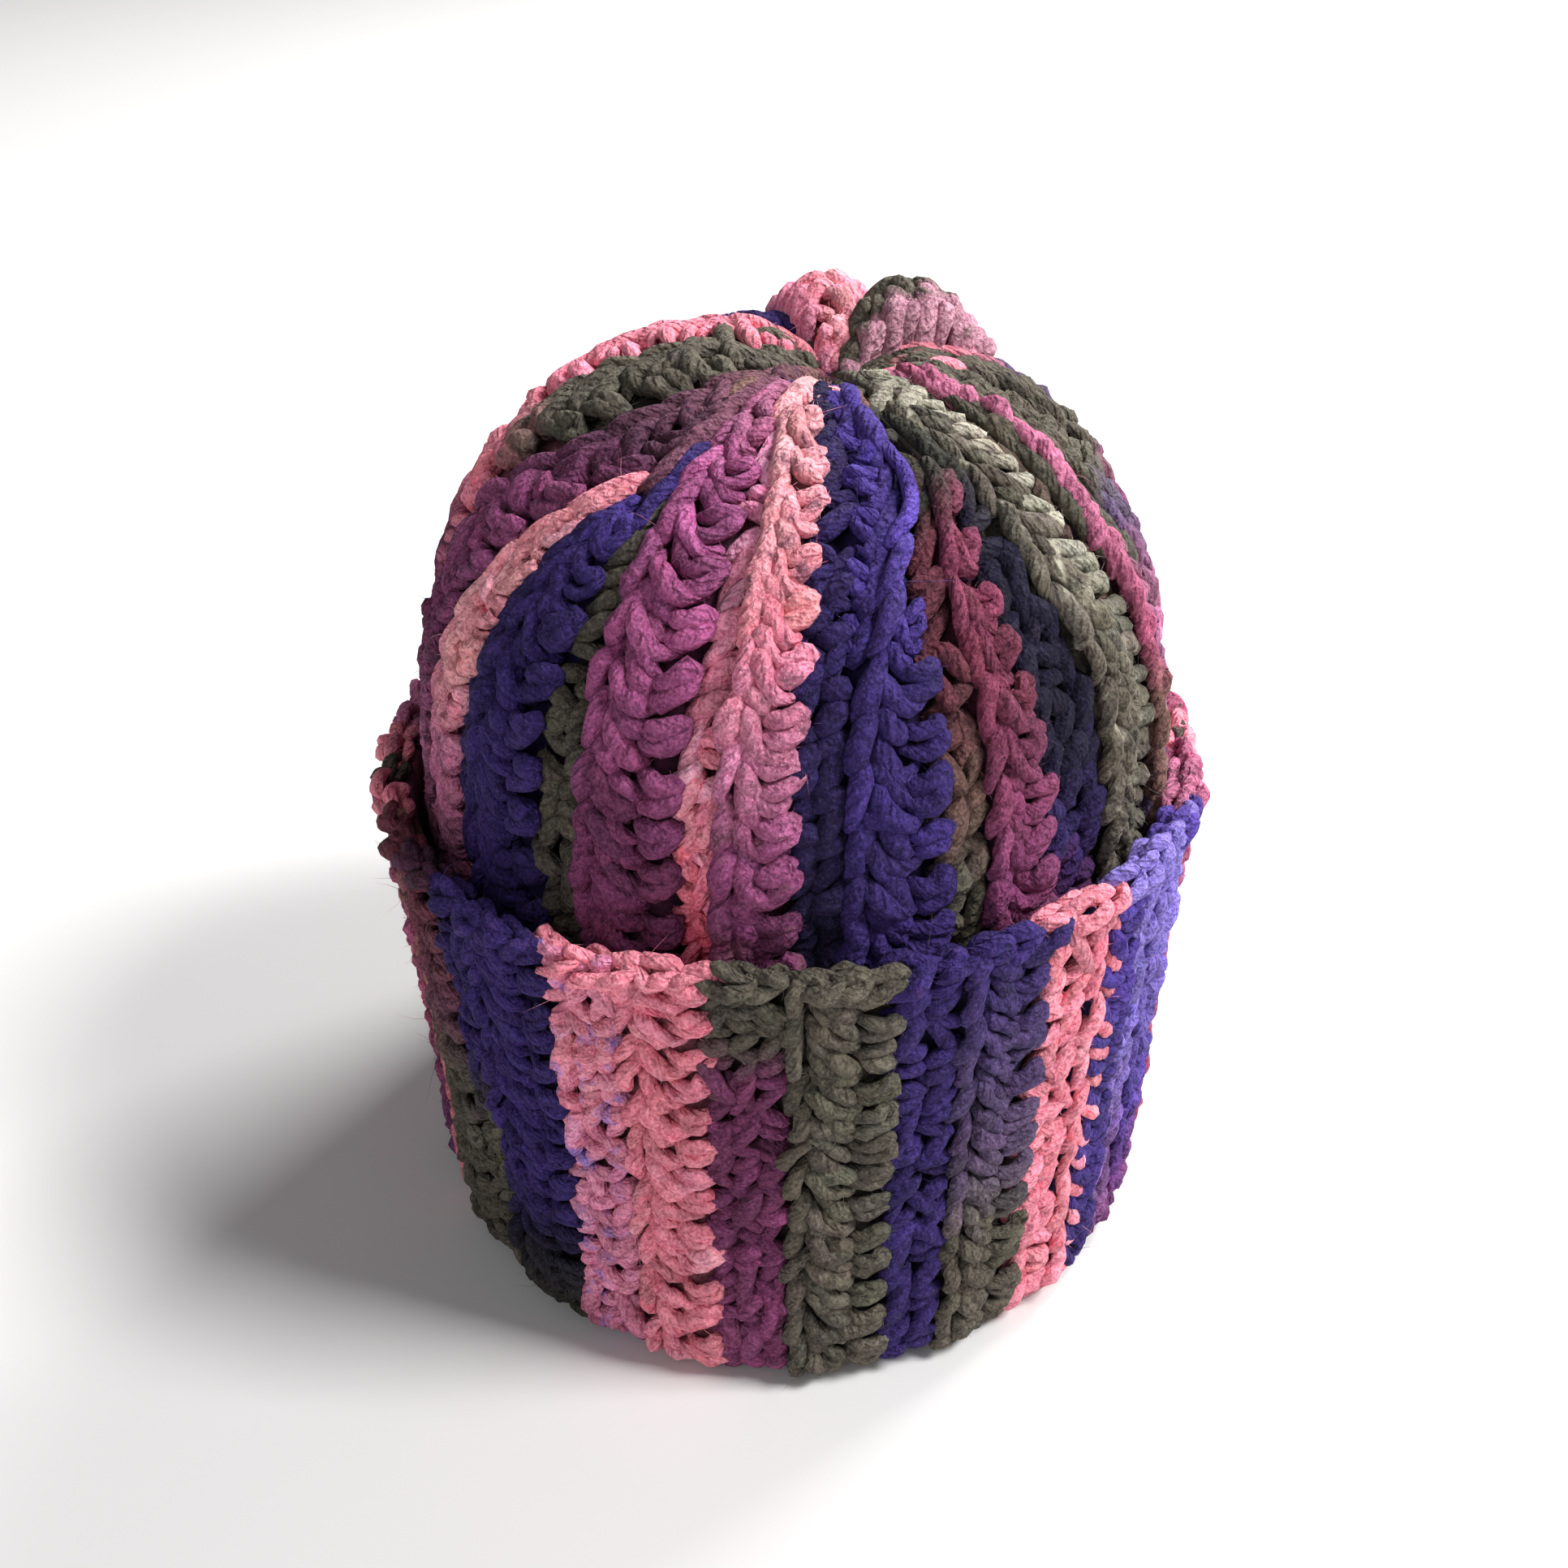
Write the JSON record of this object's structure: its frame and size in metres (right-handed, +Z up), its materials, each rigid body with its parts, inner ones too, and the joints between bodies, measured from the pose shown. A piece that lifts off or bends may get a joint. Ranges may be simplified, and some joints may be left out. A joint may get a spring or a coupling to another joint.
{
  "type": "beanie",
  "caption": "Chunky ribbed beanie with a deep folded cuff, an open hollow for the head and a crown gathered on top into puckers.",
  "frame": {"origin": "middle of the bounding box, on the level that the fold rests on", "axes": "+Z up towards the gather; the front, the side seen in the picture, faces -Y; +X is to the viewer's right, which is the wearer's left"},
  "size_m": [0.2119, 0.2352, 0.2289],
  "materials": {
    "crown_yarn": "soft thick roving yarn in long runs of salmon, mauve, plum, indigo and olive",
    "cuff_yarn": "the same soft roving yarn, folded up with its ribs upright",
    "left_pucker_yarn": "salmon roving yarn",
    "right_pucker_yarn": "mauve and olive roving yarn"
  },
  "bodies": {
    "root": {"crown": "crown_yarn", "folded_cuff": "cuff_yarn", "gather_pucker_left": "left_pucker_yarn", "gather_pucker_right": "right_pucker_yarn"}
  },
  "joints": []
}
